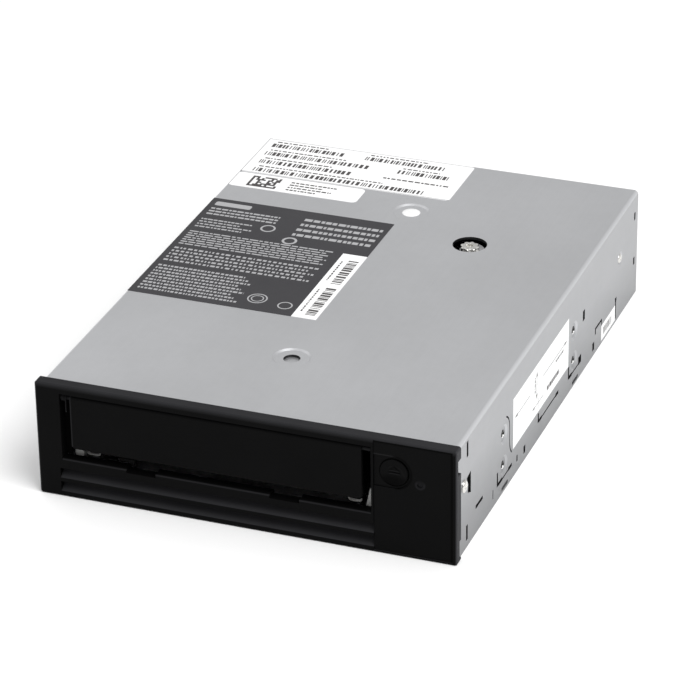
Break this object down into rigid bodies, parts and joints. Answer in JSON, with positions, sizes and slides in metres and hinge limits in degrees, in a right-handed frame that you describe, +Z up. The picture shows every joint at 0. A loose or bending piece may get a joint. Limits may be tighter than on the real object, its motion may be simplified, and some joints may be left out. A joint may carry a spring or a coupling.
{
  "type": "data tape drive",
  "caption": "Half-height internal data tape drive: folded steel chassis, black bezel with a hinged cartridge door, eject button, loading tray, reels, guide rollers and head.",
  "frame": {"origin": "centre of the footprint, on the plane of the underside", "axes": "+Y runs back from the bezel along the depth, +X to the right as seen from the front, +Z up"},
  "size_m": [0.148, 0.209, 0.0424],
  "materials": {
    "case_steel": "satin",
    "front_plastic": "matt moulded",
    "pin_steel": "polished",
    "spring_steel": "drawn wire",
    "screw_steel": "zinc plated",
    "board": "solder mask",
    "chip_plastic": "matt moulded",
    "light_plastic": "smoked",
    "cast_aluminium": "die cast",
    "loader_steel": "zinc plated",
    "gear_plastic": "acetal",
    "pinion_brass": "machined",
    "motor_can": "satin",
    "stator_iron": "varnished",
    "fan_plastic": "matt moulded",
    "reel_plastic": "moulded",
    "head_ceramic": "lapped",
    "track_plastic": "moulded"
  },
  "bodies": {
    "chassis": {"top_cover": "case_steel", "bottom_cover": "case_steel", "rear_panel": "case_steel", "bezel": "front_plastic", "control_panel": "front_plastic", "door_pin": "pin_steel", "door_spring": "spring_steel", "front_board": "board", "eject_switch": "chip_plastic", "light_guide": "light_plastic", "deck": "cast_aluminium", "case_screws": "screw_steel", "cover_post": "cast_aluminium", "post_screw": "screw_steel", "main_board": "board", "board_chips": "chip_plastic", "board_screws": "screw_steel", "data_connector": "chip_plastic", "fan_frame": "fan_plastic", "left_guide": "loader_steel", "right_guide": "loader_steel", "gear_bracket": "loader_steel", "loader_motor": "motor_can", "supply_stator": "stator_iron", "takeup_stator": "stator_iron", "reel_spindles": "pin_steel", "roller_posts": "pin_steel", "head_base": "cast_aluminium", "head_rods": "pin_steel", "head_motor": "motor_can", "threading_track": "track_plastic", "memory_reader": "board"},
    "door": {"tape_door": "front_plastic"},
    "button": {"eject_button": "front_plastic"},
    "cams": {"left_cam": "loader_steel", "right_cam": "loader_steel", "cam_crossbar": "loader_steel"},
    "tray": {"cartridge_tray": "loader_steel", "tray_pins": "pin_steel"},
    "gear": {"rack_pinion": "gear_plastic", "loader_gear": "gear_plastic", "gear_shaft": "pin_steel"},
    "pinion": {"motor_pinion": "pinion_brass"},
    "supply": {"supply_rotor": "motor_can", "supply_clutch": "reel_plastic"},
    "takeup": {"takeup_rotor": "motor_can", "takeup_reel": "reel_plastic", "takeup_top_flange": "reel_plastic"},
    "roller_1": {"guide_roller_1": "gear_plastic"},
    "roller_2": {"guide_roller_2": "gear_plastic"},
    "roller_3": {"guide_roller_3": "gear_plastic"},
    "roller_4": {"guide_roller_4": "gear_plastic"},
    "head": {"head_carriage": "cast_aluminium", "tape_head": "head_ceramic"},
    "head_drive": {"head_screw": "pin_steel"},
    "threader": {"threading_slide": "track_plastic", "leader_grabber": "gear_plastic"},
    "fan": {"fan_rotor": "fan_plastic"}
  },
  "joints": [
    {"name": "door_hinge", "type": "hinge", "parent": "chassis", "child": "door", "pos_m": [0, -0.10285, 0.0374], "axis": [1, 0, 0], "range_deg": [0, 90], "stiffness_Nm_per_rad": 0.002, "springref_deg": -17.19},
    {"name": "button_press", "type": "slide", "parent": "chassis", "child": "button", "axis": [0, 1, 0], "range_m": [0, 0.001], "stiffness_N_per_m": 300, "springref_m": -0.001},
    {"name": "cam_slide", "type": "slide", "parent": "chassis", "child": "cams", "axis": [0, 1, 0], "range_m": [0, 0.014]},
    {"name": "tray_drop", "type": "slide", "parent": "chassis", "child": "tray", "axis": [0, 0, -1], "range_m": [0, 0.00421]},
    {"name": "gear_turn", "type": "hinge", "parent": "chassis", "child": "gear", "pos_m": [0.0475, -0.0505, 0.0195], "axis": [1, 0, 0], "range_deg": [-170, 0]},
    {"name": "pinion_turn", "type": "hinge", "parent": "chassis", "child": "pinion", "pos_m": [0.0475, -0.04126, 0.02725], "axis": [1, 0, 0], "range_deg": [0, 505]},
    {"name": "supply_spin", "type": "hinge", "parent": "chassis", "child": "supply", "pos_m": [-0.0102, -0.0435, 0.021], "axis": [0, 0, 1], "continuous": true},
    {"name": "takeup_spin", "type": "hinge", "parent": "chassis", "child": "takeup", "pos_m": [-0.02, 0.0565, 0.021], "axis": [0, 0, 1], "continuous": true},
    {"name": "roller_1_spin", "type": "hinge", "parent": "chassis", "child": "roller_1", "pos_m": [0.0473, 0.0137, 0.021], "axis": [0, 0, 1], "continuous": true},
    {"name": "roller_2_spin", "type": "hinge", "parent": "chassis", "child": "roller_2", "pos_m": [0.0465, 0.024, 0.021], "axis": [0, 0, 1], "continuous": true},
    {"name": "roller_3_spin", "type": "hinge", "parent": "chassis", "child": "roller_3", "pos_m": [0.0435, 0.042, 0.021], "axis": [0, 0, 1], "continuous": true},
    {"name": "roller_4_spin", "type": "hinge", "parent": "chassis", "child": "roller_4", "pos_m": [0.034, 0.05, 0.021], "axis": [0, 0, 1], "continuous": true},
    {"name": "head_step", "type": "slide", "parent": "chassis", "child": "head", "axis": [0, 0, 1], "range_m": [-0.003, 0.003]},
    {"name": "head_screw_turn", "type": "hinge", "parent": "chassis", "child": "head_drive", "pos_m": [0.031, 0.0315, 0.02], "axis": [0, 0, 1], "range_deg": [-362, 362]},
    {"name": "leader_sweep", "type": "hinge", "parent": "chassis", "child": "threader", "pos_m": [0.008, 0.0215, 0.0105], "axis": [0, 0, 1], "range_deg": [0, 90]},
    {"name": "fan_spin", "type": "hinge", "parent": "chassis", "child": "fan", "pos_m": [0.04503, 0.0935, 0.02065], "axis": [0, 1, 0], "continuous": true}
  ],
  "couplings": [
    {"joint": "tray_drop", "follows": "cam_slide", "ratio": 0.3},
    {"joint": "gear_turn", "follows": "cam_slide", "rad_per_m": -208.33},
    {"joint": "pinion_turn", "follows": "cam_slide", "rad_per_m": 625},
    {"joint": "head_screw_turn", "follows": "head_step", "rad_per_m": -2094.4}
  ]
}
